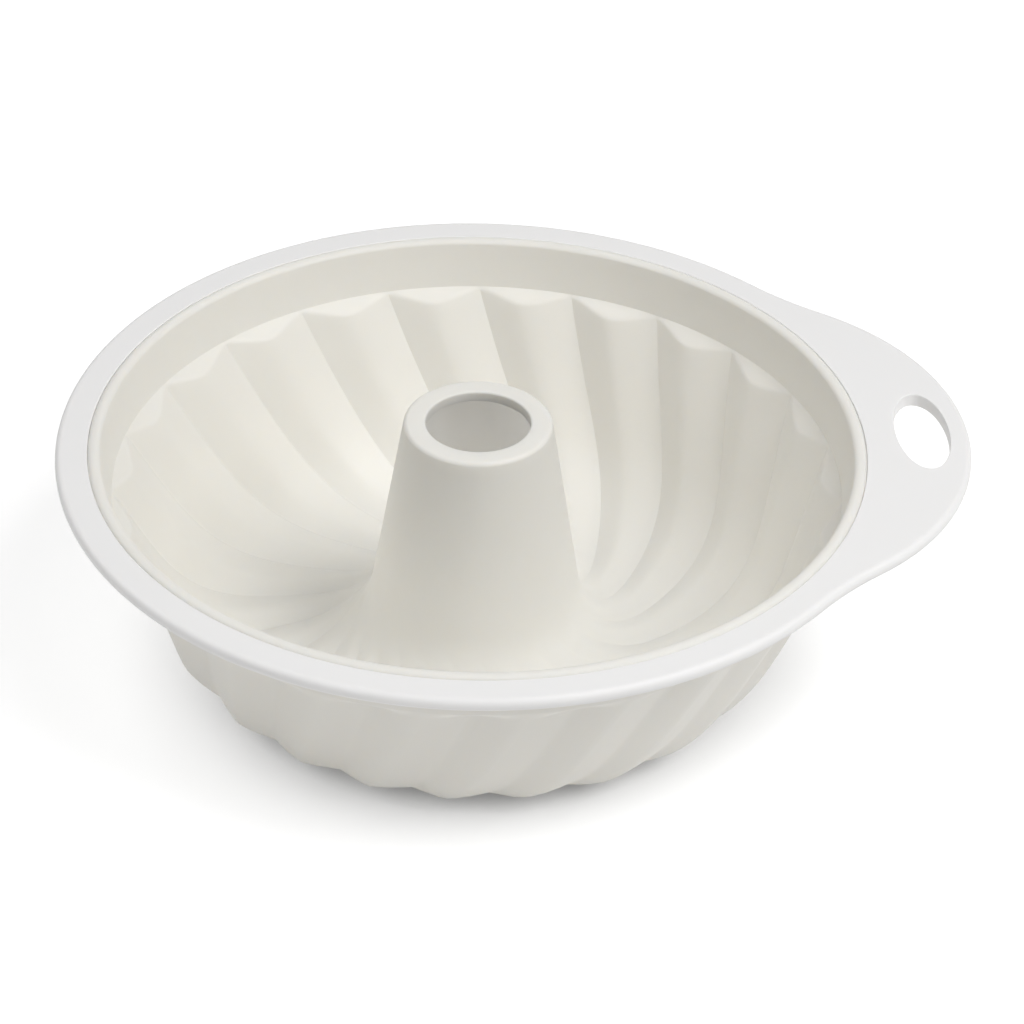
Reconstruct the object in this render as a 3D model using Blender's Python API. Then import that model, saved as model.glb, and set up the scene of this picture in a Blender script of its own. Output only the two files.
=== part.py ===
"""Fluted tube pan: a silicone baking mould with swirled flutes and an open centre tube.

A flat rim with a hanging handle is moulded round the mould's lip, and a thin steel frame
inside the rim keeps it flat. Metres, +Z up. The pan stands on z = 0, the handle points along
+X, and the origin is the middle of the footprint. A depth is measured down from the rim's
top face, and a radius from the pan's own upright axis.
"""

import math

import bmesh
import bpy
import numpy as np

# Rim and handle
RIM_RADIUS = 0.125
RIM_WIDTH = 0.0095
RIM_THICKNESS = 0.0042
RIM_SKIN = 0.0018
EDGE_ROUND = 0.0019
HANDLE_LENGTH = 0.0221
HANDLE_END_RADIUS = 0.0817
HANDLE_BLEND_RADIUS = 0.119
HOLE_LENGTH = 0.0389
HOLE_WIDTH = 0.0161
HOLE_WEB = 0.0060

# Lip and collar of the mould
BEAD_WIDTH = 0.0040
BEAD_RISE = 0.0006
BEAD_ROUND = 0.0015
COLLAR_DEPTH = 0.0145
COLLAR_DRAFT = math.radians(10.5)

# Bowl: the surface along the bottoms of the creases
WALL = 0.0026
BOWL_DEPTH = 0.0731
WALL_LEAN = math.radians(24.5)
WALL_FULLNESS = 0.69
FLOOR_FULLNESS = 0.72
TROUGH_BIAS = 0.30
FOOT_RISE = 0.022
FOOT_FULLNESS = 0.55
BASE_CUT = 0.0011

# Centre tube
TUBE_TOP_RADIUS = 0.0220
TUBE_HOLE_RADIUS = 0.0156
TUBE_LEAN = math.radians(9.2)
TUBE_RISE = 0.0073
TUBE_ROUND = 0.0015
TUBE_WEB = 0.0032

# Flutes
FLUTES = 23
FLUTE_START = math.radians(7.7)
WALL_TWIST = math.radians(14.9)
FLOOR_TWIST = math.radians(31.9)
RIB_HEIGHT = 0.0036
GROOVE_DEPTH = 0.0029
GROOVE_CREST = 0.4
RIDGE_PHASE = 0.55
RIB_SHOULDER = 0.0050
RIB_FADE = 0.010

# Steel frame and its seat in the rim
FIT_GAP = 0.0003
FRAME_THICKNESS = 0.0008
FRAME_WIDTH = 0.0037

# How finely the shapes are divided
FLUTE_STEPS = 2
BOWL_ROWS = 17
CURVE_SAMPLES = 400
RIM_STEPS = 84
END_STEPS = 18
BLEND_STEPS = 6
OVAL_STEPS = 32
BEAD_STEPS = 4
BEVEL_STEPS = 3
CUT_MARGIN = 0.002
BEVEL_ANGLE = math.radians(60)
SMOOTH_ANGLE = math.radians(35)

# Colours
IVORY = (0.82, 0.79, 0.71, 1.0)
WHITE = (0.86, 0.86, 0.87, 1.0)
STEEL = (0.56, 0.57, 0.58, 1.0)

# Sizes that follow from the ones above
HANDLE_REACH = RIM_RADIUS + HANDLE_LENGTH
PAN_AXIS_X = (RIM_RADIUS - HANDLE_REACH) / 2
RIM_TOP = BOWL_DEPTH + WALL - BASE_CUT
RIM_INNER_RADIUS = RIM_RADIUS - RIM_WIDTH
HOLE_REACH = HANDLE_REACH - HOLE_WEB - HOLE_WIDTH / 2
SLOT_HEIGHT = FRAME_THICKNESS + 2 * FIT_GAP
BEAD_OUTER_RADIUS = RIM_INNER_RADIUS - FIT_GAP
BEAD_INNER_RADIUS = BEAD_OUTER_RADIUS - BEAD_WIDTH
FRAME_INSET = RIM_SKIN + FIT_GAP
FRAME_INNER_RADIUS = RIM_RADIUS - FRAME_INSET - FRAME_WIDTH
TONGUE_RADIUS = FRAME_INNER_RADIUS - FIT_GAP
SHOULDER_RADIUS = BEAD_INNER_RADIUS - COLLAR_DEPTH * math.tan(COLLAR_DRAFT)


def clear_scene():
    for obj in list(bpy.data.objects):
        bpy.data.objects.remove(obj, do_unlink=True)


def material(name, colour, roughness, metallic=0.0):
    made = bpy.data.materials.new(name)
    made.use_nodes = True
    surface = made.node_tree.nodes["Principled BSDF"]
    surface.inputs["Base Color"].default_value = colour
    surface.inputs["Roughness"].default_value = roughness
    surface.inputs["Metallic"].default_value = metallic
    made.diffuse_color = colour
    return made


def object_from(bm, name):
    """A smooth-shaded object that holds this bmesh, with its faces pointing out."""
    bmesh.ops.recalc_face_normals(bm, faces=bm.faces)
    mesh = bpy.data.meshes.new(name)
    bm.to_mesh(mesh)
    bm.free()
    mesh.shade_smooth()
    mesh.set_sharp_from_angle(angle=SMOOTH_ANGLE)
    obj = bpy.data.objects.new(name, mesh)
    bpy.context.scene.collection.objects.link(obj)
    return obj


def cubic(start, leave, arrive, end):
    """Points on a cubic Bezier curve."""
    t = np.linspace(0.0, 1.0, CURVE_SAMPLES)[:, None]
    return ((1 - t) ** 3 * start + 3 * (1 - t) ** 2 * t * leave
            + 3 * (1 - t) * t ** 2 * arrive + t ** 3 * end)


def tube_radius(depth):
    """Outer radius of the tube's cone at this depth."""
    return TUBE_TOP_RADIUS + (TUBE_RISE + depth) * math.tan(TUBE_LEAN)


def crease_curve():
    """(radius, depth) points down the wall, across the floor and up to the tube's cone."""
    foot_depth = BOWL_DEPTH - FOOT_RISE
    shoulder = np.array([SHOULDER_RADIUS, COLLAR_DEPTH])
    foot = np.array([tube_radius(foot_depth), foot_depth])
    span = shoulder[0] - foot[0]
    deepest = np.array([foot[0] + TROUGH_BIAS * span, BOWL_DEPTH])
    down_wall = np.array([-math.sin(WALL_LEAN), math.cos(WALL_LEAN)])
    down_tube = np.array([math.sin(TUBE_LEAN), math.cos(TUBE_LEAN)])
    inwards = np.array([-1.0, 0.0])
    bowl = cubic(
        shoulder,
        shoulder + down_wall * WALL_FULLNESS * (BOWL_DEPTH - COLLAR_DEPTH),
        deepest - inwards * FLOOR_FULLNESS * (shoulder[0] - deepest[0]),
        deepest,
    )
    floor = cubic(
        deepest,
        deepest + inwards * FOOT_FULLNESS * (deepest[0] - foot[0]),
        foot + down_tube * FOOT_FULLNESS * FOOT_RISE,
        foot,
    )
    return np.concatenate([bowl, floor[1:]])


def smooth_step(x):
    x = np.clip(x, 0.0, 1.0)
    return x * x * (3 - 2 * x)


def bowl_stations():
    """Where the bowl's rows lie: radius, depth, normal into the cavity, twist and flute share.

    The rows lie closer together where the curve bends.
    """
    points = crease_curve()
    lengths = np.concatenate([[0.0], np.cumsum(np.hypot(*np.diff(points, axis=0).T))])
    slope = np.gradient(points, axis=0)
    slope /= np.hypot(*slope.T)[:, None]
    deepest = lengths[np.argmax(points[:, 1])]
    lean = np.interp(lengths, [0.0, deepest], [WALL_TWIST, FLOOR_TWIST])
    turn = np.tan(lean) / points[:, 0]
    step = np.diff(lengths) * (turn[1:] + turn[:-1]) / 2
    twist = -np.concatenate([[0.0], np.cumsum(step)])
    share = points[:, 0] / SHOULDER_RADIUS
    share = share * smooth_step(lengths / RIB_SHOULDER)
    share = share * smooth_step((lengths[-1] - lengths) / RIB_FADE)
    bend = np.cumsum(np.hypot(*np.gradient(slope, axis=0).T))
    spacing = lengths / lengths[-1] + bend / bend[-1]
    first = np.interp(RIB_SHOULDER, lengths, spacing)
    even = np.linspace(first, spacing[-1], BOWL_ROWS - 1)
    stops = np.append(0.0, np.interp(even, spacing, lengths))
    columns = [points[:, 0], points[:, 1], -slope[:, 1], -slope[:, 0], twist, share]
    return [tuple(np.interp(stop, lengths, column) for column in columns) for stop in stops]


def flute_columns():
    """(phase, climb) of each column from one crease to the next; the climb is 1 on the ridge."""
    rising = [(RIDGE_PHASE * i / FLUTE_STEPS, i / FLUTE_STEPS) for i in range(FLUTE_STEPS)]
    falling = [(1 - (1 - RIDGE_PHASE) * i / FLUTE_STEPS, i / FLUTE_STEPS)
               for i in range(FLUTE_STEPS, 0, -1)]
    return rising + falling


def rib(climb):
    """Height of the rounded rib inside the mould: sharp creases at its feet."""
    return math.sin(math.pi / 2 * climb)


def groove(climb):
    """Depth of the groove outside the mould: deepest behind the ridge, with a soft edge over the crease."""
    turn = math.pi / 2 * climb
    return GROOVE_CREST * math.sin(turn) + (1.0 - GROOVE_CREST) * (1.0 - math.cos(turn))


def bowl_rows(stations, inside):
    """Rows of (radius, depth, twist) for one flute's columns, on the cavity or the outer side."""
    rows = []
    for radius, depth, across, up, twist, share in stations:
        base = 0.0 if inside else -WALL
        swell = share * (RIB_HEIGHT if inside else GROOVE_DEPTH)
        shape = rib if inside else groove
        rows.append([
            (radius + across * (base + swell * shape(climb)),
             depth - up * (base + swell * shape(climb)),
             twist)
            for phase, climb in flute_columns()
        ])
    return rows


def plain_rows(points, twist):
    """Rows of a turned surface with no flutes."""
    return [[(radius, depth, twist)] * len(flute_columns()) for radius, depth in points]


def bead_points():
    """The tongue's tip and top, then the rounded bead, from outside to inside."""
    middle = RIM_THICKNESS / 2
    half = FRAME_THICKNESS / 2
    points = [
        (TONGUE_RADIUS, middle + half),
        (TONGUE_RADIUS, middle - half),
        (BEAD_OUTER_RADIUS, middle - half),
    ]
    crown = (BEAD_OUTER_RADIUS + BEAD_INNER_RADIUS) / 2
    for i in range(BEAD_STEPS + 1):
        angle = math.pi * i / BEAD_STEPS
        points.append((crown + BEAD_WIDTH / 2 * math.cos(angle),
                       BEAD_ROUND - BEAD_RISE - BEAD_ROUND * math.sin(angle)))
    return points


def tube_points():
    """The tube's rounded top, its hole, and the underside of the web round the hole."""
    top = -TUBE_RISE
    under = top + TUBE_WEB
    halfway = TUBE_ROUND * (1 - math.cos(math.pi / 4))
    return [
        (tube_radius(top + TUBE_ROUND), top + TUBE_ROUND),
        (TUBE_TOP_RADIUS - halfway, top + halfway),
        (TUBE_TOP_RADIUS - TUBE_ROUND, top),
        (TUBE_HOLE_RADIUS, top),
        (TUBE_HOLE_RADIUS, under),
        (tube_radius(under) - WALL / math.cos(TUBE_LEAN), under),
    ]


def outer_lip_points():
    """The collar's outer top edge and the underside of the bead."""
    return [
        (BEAD_INNER_RADIUS + WALL, RIM_THICKNESS),
        (BEAD_OUTER_RADIUS, RIM_THICKNESS),
        (BEAD_OUTER_RADIUS, (RIM_THICKNESS + FRAME_THICKNESS) / 2),
    ]


def mould_rows():
    """Every row of the mould, once round its section."""
    stations = bowl_stations()
    last_twist = stations[-1][4]
    return (
        plain_rows(bead_points(), 0.0)
        + bowl_rows(stations, inside=True)
        + plain_rows(tube_points(), last_twist)
        + bowl_rows(stations, inside=False)[::-1]
        + plain_rows(outer_lip_points(), 0.0)
    )


def make_mould_body():
    """The mould: its section runs once round as a closed loop, so the tube's hole stays open."""
    bm = bmesh.new()
    pitch = 2 * math.pi / FLUTES
    phases = [phase for phase, climb in flute_columns()]
    rings = []
    for row in mould_rows():
        ring = []
        for flute in range(FLUTES):
            for phase, (radius, depth, twist) in zip(phases, row):
                angle = FLUTE_START + twist + pitch * (flute + phase)
                ring.append(bm.verts.new((
                    PAN_AXIS_X + radius * math.cos(angle),
                    radius * math.sin(angle),
                    max(RIM_TOP - depth, 0.0),
                )))
        rings.append(ring)
    for ring, after in zip(rings, rings[1:] + rings[:1]):
        for column, vert in enumerate(ring):
            beside = (column + 1) % len(ring)
            bm.faces.new((vert, ring[beside], after[beside], after[column]))
    return object_from(bm, "mould_body")


def arc(centre, radius, start, end, steps):
    """Points along an arc, without its last one."""
    angles = [start + (end - start) * i / steps for i in range(steps)]
    return [(centre[0] + radius * math.cos(a), centre[1] + radius * math.sin(a)) for a in angles]


def rim_outline(inset):
    """Rim circle, concave blends and rounded handle end, all drawn in by the same inset."""
    end_x = HANDLE_REACH - HANDLE_END_RADIUS
    to_rim = RIM_RADIUS + HANDLE_BLEND_RADIUS
    to_end = HANDLE_END_RADIUS + HANDLE_BLEND_RADIUS
    blend_x = (to_rim ** 2 - to_end ** 2 + end_x ** 2) / (2 * end_x)
    blend_y = math.sqrt(to_rim ** 2 - blend_x ** 2)
    end_angle = math.atan2(blend_y, blend_x - end_x)
    rim_angle = math.atan2(blend_y, blend_x)
    end_radius = HANDLE_END_RADIUS - inset
    blend_radius = HANDLE_BLEND_RADIUS + inset
    half_turn = math.pi
    points = arc((end_x, 0.0), end_radius, -end_angle, end_angle, END_STEPS)
    points += arc((blend_x, blend_y), blend_radius, end_angle - half_turn,
                  rim_angle - half_turn, BLEND_STEPS)
    points += arc((0.0, 0.0), RIM_RADIUS - inset, rim_angle, 2 * half_turn - rim_angle, RIM_STEPS)
    points += arc((blend_x, -blend_y), blend_radius, half_turn - rim_angle,
                  half_turn - end_angle, BLEND_STEPS)
    return points


def hole_outline(margin):
    """The hanging hole's oval, grown by the margin."""
    return [
        (HOLE_REACH + (HOLE_WIDTH / 2 + margin) * math.cos(2 * math.pi * i / OVAL_STEPS),
         (HOLE_LENGTH / 2 + margin) * math.sin(2 * math.pi * i / OVAL_STEPS))
        for i in range(OVAL_STEPS)
    ]


def slab(name, outline, depth_top, depth_bottom):
    """A flat plate with this outline between two depths."""
    bm = bmesh.new()
    top = [bm.verts.new((PAN_AXIS_X + x, y, RIM_TOP - depth_top)) for x, y in outline]
    face = bm.faces.new(top)
    made = bmesh.ops.extrude_face_region(bm, geom=[face])
    lowered = [item for item in made["geom"] if isinstance(item, bmesh.types.BMVert)]
    bmesh.ops.translate(bm, verts=lowered, vec=(0.0, 0.0, depth_top - depth_bottom))
    return object_from(bm, name)


def circle(radius):
    return arc((0.0, 0.0), radius, 0.0, 2 * math.pi, RIM_STEPS + 2 * BLEND_STEPS)


def cut(obj, cutter):
    """Take the cutter away from the object."""
    cutter.hide_render = True
    cutter.display_type = "WIRE"
    modifier = obj.modifiers.new(cutter.name, "BOOLEAN")
    modifier.operation = "DIFFERENCE"
    modifier.object = cutter
    modifier.solver = "EXACT"


def through_cutter(name, outline):
    return slab(name, outline, -CUT_MARGIN, RIM_THICKNESS + CUT_MARGIN)


def make_rim_and_handle():
    """The rim: a plate with half-round edges, opened for the mould, the hook and the frame."""
    rim = slab("rim_and_handle", rim_outline(0.0), 0.0, RIM_THICKNESS)
    edge = rim.modifiers.new("round_edge", "BEVEL")
    edge.width = EDGE_ROUND
    edge.segments = BEVEL_STEPS
    edge.limit_method = "ANGLE"
    edge.angle_limit = BEVEL_ANGLE
    slot_top = (RIM_THICKNESS - SLOT_HEIGHT) / 2
    slot = slab("frame_slot", rim_outline(RIM_SKIN), slot_top, slot_top + SLOT_HEIGHT)
    cut(slot, through_cutter("wall_round_hole", hole_outline(RIM_SKIN)))
    cut(rim, slot)
    cut(rim, through_cutter("mould_opening", circle(RIM_INNER_RADIUS)))
    cut(rim, through_cutter("hanging_hole", hole_outline(0.0)))
    rim.modifiers.new("flat_shading", "WEIGHTED_NORMAL")
    return rim


def make_rim_frame():
    """The steel frame: a flat ring with a tongue into the handle and a hole round the hook's."""
    top = (RIM_THICKNESS - FRAME_THICKNESS) / 2
    frame = slab("rim_frame", rim_outline(FRAME_INSET), top, top + FRAME_THICKNESS)
    cut(frame, through_cutter("frame_opening", circle(FRAME_INNER_RADIUS)))
    cut(frame, through_cutter("frame_hook_hole", hole_outline(FRAME_INSET)))
    return frame


def main():
    clear_scene()
    make_mould_body().data.materials.append(material("ivory_silicone", IVORY, 0.55))
    make_rim_and_handle().data.materials.append(material("white_silicone", WHITE, 0.45))
    make_rim_frame().data.materials.append(material("steel_frame", STEEL, 0.35, 1.0))


main()
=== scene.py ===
"""Fluted tube pan: the looks of its three pieces, and the studio that they stand in.

Metres, +Z up. The pan stands on z = 0 with its handle along +X. A depth is measured down from
the rim's top face, and a radius from the pan's own upright axis.
"""

import math

import bmesh
import bpy
import numpy as np
from bpy.props import FloatProperty, FloatVectorProperty, IntProperty, PointerProperty, StringProperty
from bpy.types import Operator, Panel, PropertyGroup
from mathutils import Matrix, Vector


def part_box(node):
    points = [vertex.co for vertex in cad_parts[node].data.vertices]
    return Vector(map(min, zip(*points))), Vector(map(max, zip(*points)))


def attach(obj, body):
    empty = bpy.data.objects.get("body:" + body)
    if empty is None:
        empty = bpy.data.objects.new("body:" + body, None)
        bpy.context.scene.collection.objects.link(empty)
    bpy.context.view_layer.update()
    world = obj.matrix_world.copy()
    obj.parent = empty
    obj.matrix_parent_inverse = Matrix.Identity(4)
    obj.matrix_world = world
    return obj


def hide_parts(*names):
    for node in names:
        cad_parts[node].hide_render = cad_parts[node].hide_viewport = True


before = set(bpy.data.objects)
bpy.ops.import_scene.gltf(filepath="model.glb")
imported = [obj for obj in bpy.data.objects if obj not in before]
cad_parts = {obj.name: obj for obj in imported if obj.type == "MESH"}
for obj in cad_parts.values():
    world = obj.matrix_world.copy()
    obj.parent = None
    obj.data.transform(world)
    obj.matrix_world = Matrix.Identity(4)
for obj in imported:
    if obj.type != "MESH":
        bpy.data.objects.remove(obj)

bl_info = {
    "name": "Fluted Tube Pan",
    "version": (1, 0, 0),
    "blender": (4, 5, 0),
    "location": "View3D > Sidebar > Tube Pan",
    "description": "Builds a silicone tube pan with swirled flutes and the studio round it",
    "category": "Object",
}

MOULD_LOW, MOULD_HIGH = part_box("mould_body")
RIM_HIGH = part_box("rim_and_handle")[1]
PAN_AXIS = (MOULD_LOW.x + MOULD_HIGH.x) / 2
RIM_TOP = RIM_HIGH.z
RIM_RADIUS = RIM_HIGH.y
CURVE_SAMPLES = 600         # points along a curve before rows are picked from it
WELD = 1e-6                 # points nearer than this are joined where the swept shell closes
MOULD_SHARP = 26.0          # edges of the mould sharper than this many degrees stay sharp
RIM_SHARP = 40.0            # and of the rim
PLAIN_WHITE = (1.0, 1.0, 1.0, 1.0)


def length(name, default, description):
    """A size in metres."""
    return FloatProperty(name=name, description=description, default=default, unit="LENGTH",
                         precision=5, step=0.01)


def angle(name, degrees, description):
    """An angle, given in degrees and kept in radians."""
    return FloatProperty(name=name, description=description, default=math.radians(degrees),
                         unit="ROTATION", subtype="ANGLE")


def share(name, default, description):
    """A plain number between 0 and 1."""
    return FloatProperty(name=name, description=description, default=default, min=0.0, max=1.0)


def count(name, default, description):
    """A number of rows, steps or copies."""
    return IntProperty(name=name, description=description, default=default, min=1)


def colour(name, default, description):
    """An sRGB colour written as six hex digits."""
    return StringProperty(name=name, description=description, default=default, maxlen=6)


class MouldSizes(PropertyGroup):
    """The ivory mould's lip, collar, bowl and centre tube."""

    wall: length("Wall", 0.0026, "Thickness of the moulded wall")
    tongue_radius: length("Tongue radius", MOULD_HIGH.x - PAN_AXIS, "Reach of the tongue in the rim")
    tongue_thickness: length("Tongue thickness", 0.0008, "Thickness of the tongue in the rim")
    lip_radius: length("Lip radius", 0.11547, "Outer radius of the bead, just inside the rim")
    bead_width: length("Bead width", 0.0040, "Width of the rounded bead round the mouth")
    bead_rise: length("Bead rise", 0.0006, "Height of the bead above the rim")
    bead_round: length("Bead rounding", 0.0015, "Height of the bead's rounded crown")
    rim_thickness: length("Rim thickness", 0.0042, "Thickness of the flat rim round the mould")
    collar_depth: length("Collar depth", 0.0145, "Depth of the plain band above the flutes")
    collar_draft: angle("Collar draft", 10.5, "Lean of the plain band away from upright")
    bowl_depth: length("Bowl depth", 0.0731, "Depth of the lowest point between two ribs")
    wall_lean: angle("Wall lean", 24.5, "Lean of the bowl's wall under the collar")
    wall_fullness: share("Wall fullness", 0.69, "How long the wall keeps its lean")
    floor_fullness: share("Floor fullness", 0.72, "How long the floor stays level on its outer side")
    trough_bias: share("Trough bias", 0.30, "Place of the lowest ring, from the tube's foot to the collar")
    foot_rise: length("Foot rise", 0.022, "Height of the tube's foot above the lowest ring")
    foot_fullness: share("Foot fullness", 0.55, "How long the floor stays level on its inner side")
    tube_radius: length("Tube radius", 0.0220, "Outer radius at the top of the centre tube")
    tube_hole_radius: length("Tube hole radius", 0.0156, "Radius of the opening in the centre tube")
    tube_lean: angle("Tube lean", 9.2, "Lean of the centre tube's wall away from upright")
    tube_rise: length("Tube rise", MOULD_HIGH.z - RIM_TOP, "Height of the centre tube above the rim")
    tube_round: length("Tube rounding", 0.0015, "Radius of the outer edge of the tube's top")
    hole_round: length("Hole rounding", 0.0006, "Radius of the inner edge of the tube's top")
    tube_web: length("Tube web", 0.0032, "Thickness of the flat web round the tube's opening")
    crown_steps: count("Crown steps", 14, "Divisions over the bead's rounded crown")
    edge_steps: count("Edge steps", 8, "Divisions over the outer edge of the tube's top")
    hole_steps: count("Hole steps", 5, "Divisions over the inner edge of the tube's top")
    collar_rows: count("Collar rows", 10, "Rows of faces down the inside of the collar")
    outer_collar_rows: count("Outer collar rows", 6, "Rows of faces up the outside of the collar")
    tube_rows: count("Tube rows", 22, "Rows of faces up the tube")
    top_rows: count("Top rows", 4, "Rows of faces across the tube's flat top")
    bore_rows: count("Bore rows", 3, "Rows of faces down the upright part of the tube's opening")


class FluteSizes(PropertyGroup):
    """The swirled flutes inside the bowl and the notches behind them."""

    flutes: count("Flutes", 23, "How many flutes go round the bowl")
    first_crease: angle("First crease", 7.7, "Direction of one crease under the collar, from the handle")
    wall_twist: angle("Wall twist", 14.9, "Lean of the flutes under the collar")
    floor_twist: angle("Floor twist", 31.9, "Lean of the flutes across the floor")
    rib_height: length("Rib height", 0.0036, "Height of a rib over the creases beside it")
    rib_facet: FloatProperty(name="Rib facet", default=5.0, min=1.5,
                             description="How flat a rib's two sides are: 2 round, 6 nearly flat")
    groove_depth: length("Notch depth", 0.0029, "Depth of the outer notch behind a rib")
    notch_crest: share("Notch crest", 0.4, "How sharp the ridge between two notches is: 0 soft, 1 sharp")
    ridge_phase: share("Ridge phase", 0.55, "Place of the ridge between two creases, counted anticlockwise")
    ledge_slope: angle("Ledge slope", 38.0, "Slope of the ledge at the top of a rib, from the wall")
    ledge_round: length("Ledge rounding", 0.0008, "Softness of the ledge's lower edge")
    rib_fade: length("Rib fade", 0.042, "Length over which a rib dies out at the tube's foot")
    groove_fade: length("Notch fade", 0.0050, "Length over which a notch dies out under the collar")
    groove_foot_fade: length("Notch foot fade", 0.010, "Length over which a notch dies out at the foot")
    columns: count("Columns", 18, "Strips across one flute")
    ledge_rows: count("Ledge rows", 16, "Rows of faces across the ledge")
    ledge_reach: FloatProperty(name="Ledge reach", default=1.6, min=1.0,
                               description="How much further than its slope the ledge's fine rows go")
    inner_rows: count("Inner rows", 70, "Rows of faces down the inside of the bowl")
    outer_rows: count("Outer rows", 52, "Rows of faces down the outside of the bowl")


class RimSizes(PropertyGroup):
    """The white rim with its handle."""

    width: length("Rim width", 0.0095, "Width of the flat ring round the mould")
    edge_round: length("Edge rounding", 0.0019, "Radius of the rim's outer edges")
    inner_round: length("Inner rounding", 0.00025, "Radius of the edges of the rim's two openings")
    skin: length("Skin", 0.0018, "Silicone between the rim's edge and the slot for its steel ring")
    slot: length("Slot", 0.0014, "Height of the slot for the steel ring")
    handle_length: length("Handle length", 0.0221, "Reach of the handle past the ring")
    end_radius: length("End radius", 0.0817, "Radius of the handle's far edge")
    blend_radius: length("Blend radius", 0.119, "Radius of the hollow curve from the ring to the handle")
    hole_length: length("Hole length", 0.0389, "Length of the oval hanging hole")
    hole_width: length("Hole width", 0.0161, "Width of the oval hanging hole")
    hole_web: length("Hole web", 0.0060, "Silicone between the hole and the handle's end")
    steps: count("Steps", 220, "Divisions round the ring")
    edge_steps: count("Edge steps", 6, "Divisions over a rounded edge")


class PanFinish(PropertyGroup):
    """Colours of the pan's materials, and how light goes into its silicone."""

    ivory: colour("Ivory", "E7E5DF", "Colour of the mould")
    white: colour("White", "EDECEB", "Colour of the rim and handle")
    steel: colour("Steel", "C4C6C8", "Colour of the hidden ring")
    ivory_dullness: share("Ivory dullness", 0.55, "Roughness of the mould")
    white_dullness: share("White dullness", 0.48, "Roughness of the rim")
    ivory_glow: share("Ivory glow", 0.4, "Share of the mould's light that comes from under its skin")
    white_glow: share("White glow", 0.1, "Share of the rim's light that comes from under its skin")
    grain: length("Grain", 0.0006, "Size of the grain that the moulding tool leaves")
    skin_depth: length("Skin depth", 0.005, "How far light goes under the silicone's skin")
    bore_depth: length("Bore depth", 0.060, "How far light goes into the thin wall of the tube's bore")
    bore_radius: length("Bore radius", 0.025, "A wall that faces the axis from about here is the bore")
    bore_spread: length("Bore spread", 0.0088, "How much nearer or further than that it can be")
    bore_facing: length("Bore facing", 0.008, "Radius times how squarely such a wall faces the axis")


class StageSettings(PropertyGroup):
    """Camera, floor and lights."""

    camera_place: FloatVectorProperty(
        name="Camera place", description="Where the camera stands", subtype="TRANSLATION",
        unit="LENGTH", default=(-0.08745, -1.02374, 0.78015))
    camera_turn: FloatVectorProperty(
        name="Camera turn", description="How the camera is turned", subtype="EULER",
        default=(0.95196, -0.01914, -0.07119))
    lens: FloatProperty(name="Lens", description="Focal length in millimetres", default=147.63, min=1.0)
    film: FloatProperty(name="Film", description="Width of the film in millimetres", default=36.0, min=1.0)
    floor: colour("Floor", "F6F6F6", "Colour of the paper under the pan")
    floor_half: length("Floor half", 4.0, "Half the side of the square of paper")
    floor_drop: length("Floor drop", 0.0001, "Gap between the pan's feet and the paper")
    # The paper's painted shadow: a white glow that ambient occlusion dims near the pan. The sky named below
    # is only how open the paper is round a point, not lamp or sky light.
    painted_shadow_reach: length("Shadow reach", 0.15, "How far from a place on the paper the pan can shade it")
    painted_shadow_share: share("Shadow share", 0.65, "Share of the paper's look that an even sky gives it")
    floor_lift: FloatProperty(name="Floor lift", default=1.9, min=1.0,
                              description="How much brighter the rest of that look is than the paper")
    painted_shadow_end: share("Shadow end", 0.49, "Open share of the sky at which the paper's shadow ends")
    painted_shadow_dark: share("Shadow dark", 0.04, "Brightness of paper that sees no sky at all")
    painted_shadow_samples: count("Shadow samples", 16, "Rays that find how much of the sky is open")
    sky: FloatProperty(name="Sky", description="Strength of the even light from all round", default=0.125)
    key: FloatProperty(name="Key", description="Power of the lamp at the front right", unit="POWER",
                       default=25.1)
    key_place: FloatVectorProperty(
        name="Key place", description="Where the lamp at the front right hangs", subtype="TRANSLATION",
        unit="LENGTH", default=(0.894, -0.516, 1.474))
    front_fill: FloatProperty(name="Front fill", description="Power of the lamp at the front left",
                              unit="POWER", default=7.5)
    front_fill_place: FloatVectorProperty(
        name="Front fill place", description="Where the lamp at the front left hangs",
        subtype="TRANSLATION", unit="LENGTH", default=(-0.975, -0.818, 1.273))
    back_fill: FloatProperty(name="Back fill", description="Power of the lamp at the back left",
                             unit="POWER", default=5.2)
    back_fill_place: FloatVectorProperty(
        name="Back fill place", description="Where the lamp at the back left hangs",
        subtype="TRANSLATION", unit="LENGTH", default=(-0.975, 0.818, 1.273))
    lamp_size: length("Lamp size", 1.2, "Side of each square lamp")


class PanSettings(PropertyGroup):
    """All the settings of the pan and its studio."""

    mould: PointerProperty(type=MouldSizes, name="Mould", description="The ivory mould")
    flutes: PointerProperty(type=FluteSizes, name="Flutes", description="The swirled flutes")
    rim: PointerProperty(type=RimSizes, name="Rim", description="The rim with its handle")
    finish: PointerProperty(type=PanFinish, name="Finish", description="The colours")
    stage: PointerProperty(type=StageSettings, name="Stage", description="Camera, floor and lights")


def linear(hex_colour):
    """Linear RGBA of an sRGB colour written as six hex digits."""
    channels = [int(hex_colour[i:i + 2], 16) / 255 for i in (0, 2, 4)]
    return [c / 12.92 if c <= 0.04045 else ((c + 0.055) / 1.055) ** 2.4 for c in channels] + [1.0]


def add_node(tree, kind, settings=None, inputs=None):
    """A node with its settings, whose inputs are given by name or number, as values or sockets."""
    made = tree.nodes.new(kind)
    for name, value in (settings or {}).items():
        setattr(made, name, value)
    for key, value in (inputs or {}).items():
        if isinstance(value, bpy.types.NodeSocket):
            tree.links.new(value, made.inputs[key])
        else:
            made.inputs[key].default_value = value
    return made


def new_material(name, tone):
    """An empty node material and its tree; the tone shows in the solid view."""
    material = bpy.data.materials.new(name)
    material.use_nodes = True
    material.diffuse_color = tone
    material.node_tree.nodes.clear()
    return material, material.node_tree


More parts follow.
